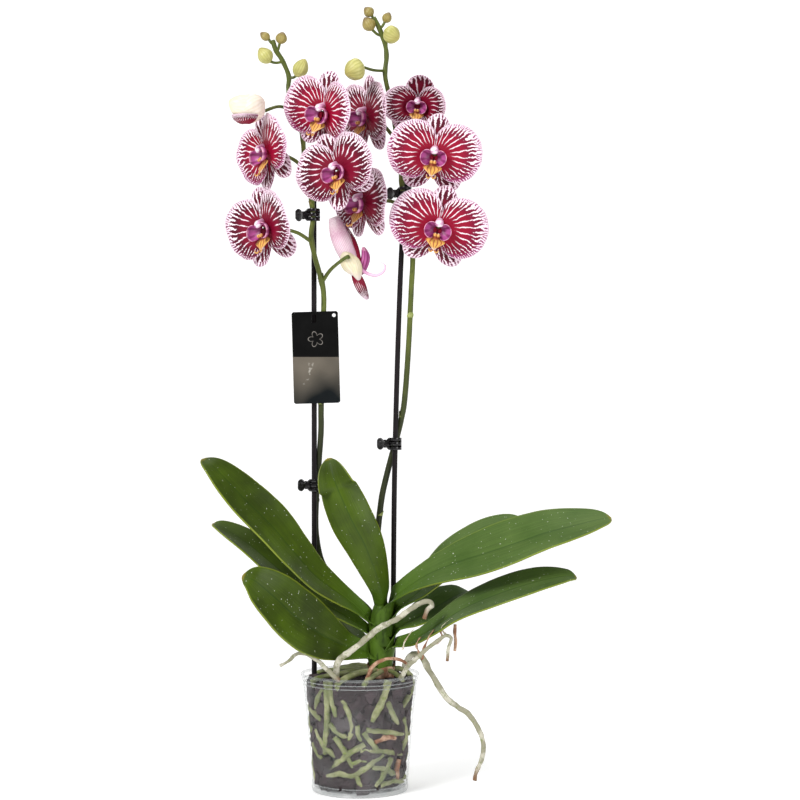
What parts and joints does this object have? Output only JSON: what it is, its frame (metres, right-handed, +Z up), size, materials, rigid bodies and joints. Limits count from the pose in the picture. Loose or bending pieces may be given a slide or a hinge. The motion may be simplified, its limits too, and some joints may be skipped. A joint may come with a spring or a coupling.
{
  "type": "potted orchid",
  "caption": "Moth orchid in a clear nursery pot: strap leaves, roots in bark, staked flower spikes with striped open flowers and buds.",
  "frame": {"origin": "centre of the flat underside of the pot's base, on the surface that the pot stands on", "axes": "+Z up along the pot's axis; the open flowers face -Y; +X towards the largest leaf"},
  "size_m": [0.4102, 0.2233, 0.8087],
  "materials": {
    "pot_plastic": "clear, slightly milky, glossy",
    "bark": "rough, dry",
    "root": "matte, papery, with silver and green patches",
    "crown": "satin",
    "leaf": "satin, waxy",
    "stem": "satin",
    "petal": "matte, velvety, wine stripes on white",
    "lip": "satin, waxy",
    "bud": "satin",
    "stake_plastic": "matte",
    "clip_plastic": "moulded, satin gloss",
    "label_card": "glossy printed card, silver lower half"
  },
  "bodies": {
    "plant": {"nursery_pot": "pot_plastic", "bark_mix": "bark", "root_mass": "root", "crown": "crown", "opening_bud": "bud", "plant_label": "label_card", "flower_spike_left": "stem", "flower_spike_right": "stem", "support_stake_left": "stake_plastic", "support_stake_right": "stake_plastic", "aerial_root_front": "root", "aerial_root_left": "root", "aerial_root_hanging": "root", "aerial_root_right": "root", "aerial_root_dry": "root", "leaf_left_upper": "leaf", "leaf_left_middle": "leaf", "leaf_left_front": "leaf", "leaf_left_back": "leaf", "leaf_upright": "leaf", "leaf_right_large": "leaf", "leaf_right_behind": "leaf", "leaf_right_lower": "leaf", "leaf_right_back": "leaf", "flower_1_sepals": "petal", "flower_1_petals": "petal", "flower_1_lip": "lip", "flower_2_sepals": "petal", "flower_2_petals": "petal", "flower_2_lip": "lip", "flower_3_sepals": "petal", "flower_3_petals": "petal", "flower_3_lip": "lip", "flower_4_sepals": "petal", "flower_4_petals": "petal", "flower_4_lip": "lip", "flower_5_sepals": "petal", "flower_5_petals": "petal", "flower_5_lip": "lip", "flower_6_sepals": "petal", "flower_6_petals": "petal", "flower_6_lip": "lip", "flower_9_sepals": "petal", "flower_9_petals": "petal", "flower_9_lip": "lip", "flower_10_sepals": "petal", "flower_10_petals": "petal", "flower_10_lip": "lip", "flower_7_tepals": "petal", "flower_7_lip": "lip", "flower_8_tepals": "petal", "flower_8_lip": "lip", "clip_left_lower_rear_jaw": "clip_plastic", "clip_left_upper_rear_jaw": "clip_plastic", "clip_right_lower_rear_jaw": "clip_plastic", "clip_right_upper_rear_jaw": "clip_plastic"},
    "clip_left_lower_jaw": {"clip_left_lower_front_jaw": "clip_plastic"},
    "clip_left_upper_jaw": {"clip_left_upper_front_jaw": "clip_plastic"},
    "clip_right_lower_jaw": {"clip_right_lower_front_jaw": "clip_plastic"},
    "clip_right_upper_jaw": {"clip_right_upper_front_jaw": "clip_plastic"}
  },
  "joints": [
    {"name": "clip_left_lower_hinge", "type": "hinge", "parent": "plant", "child": "clip_left_lower_jaw", "pos_m": [-0.0566, 0.013, 0.314], "axis": [0, 0, -1], "range_deg": [0, 25], "stiffness_Nm_per_rad": 0.01, "springref_deg": -11.46},
    {"name": "clip_left_upper_hinge", "type": "hinge", "parent": "plant", "child": "clip_left_upper_jaw", "pos_m": [-0.0588, 0.0051, 0.594], "axis": [0, 0, -1], "range_deg": [0, 25], "stiffness_Nm_per_rad": 0.01, "springref_deg": -11.46},
    {"name": "clip_right_lower_hinge", "type": "hinge", "parent": "plant", "child": "clip_right_lower_jaw", "pos_m": [0.0256, 0.0151, 0.357], "axis": [0, 0, -1], "range_deg": [0, 25], "stiffness_Nm_per_rad": 0.01, "springref_deg": -11.46},
    {"name": "clip_right_upper_hinge", "type": "hinge", "parent": "plant", "child": "clip_right_upper_jaw", "pos_m": [0.036, 0.0015, 0.616], "axis": [0, 0, -1], "range_deg": [0, 25], "stiffness_Nm_per_rad": 0.01, "springref_deg": -11.46}
  ]
}
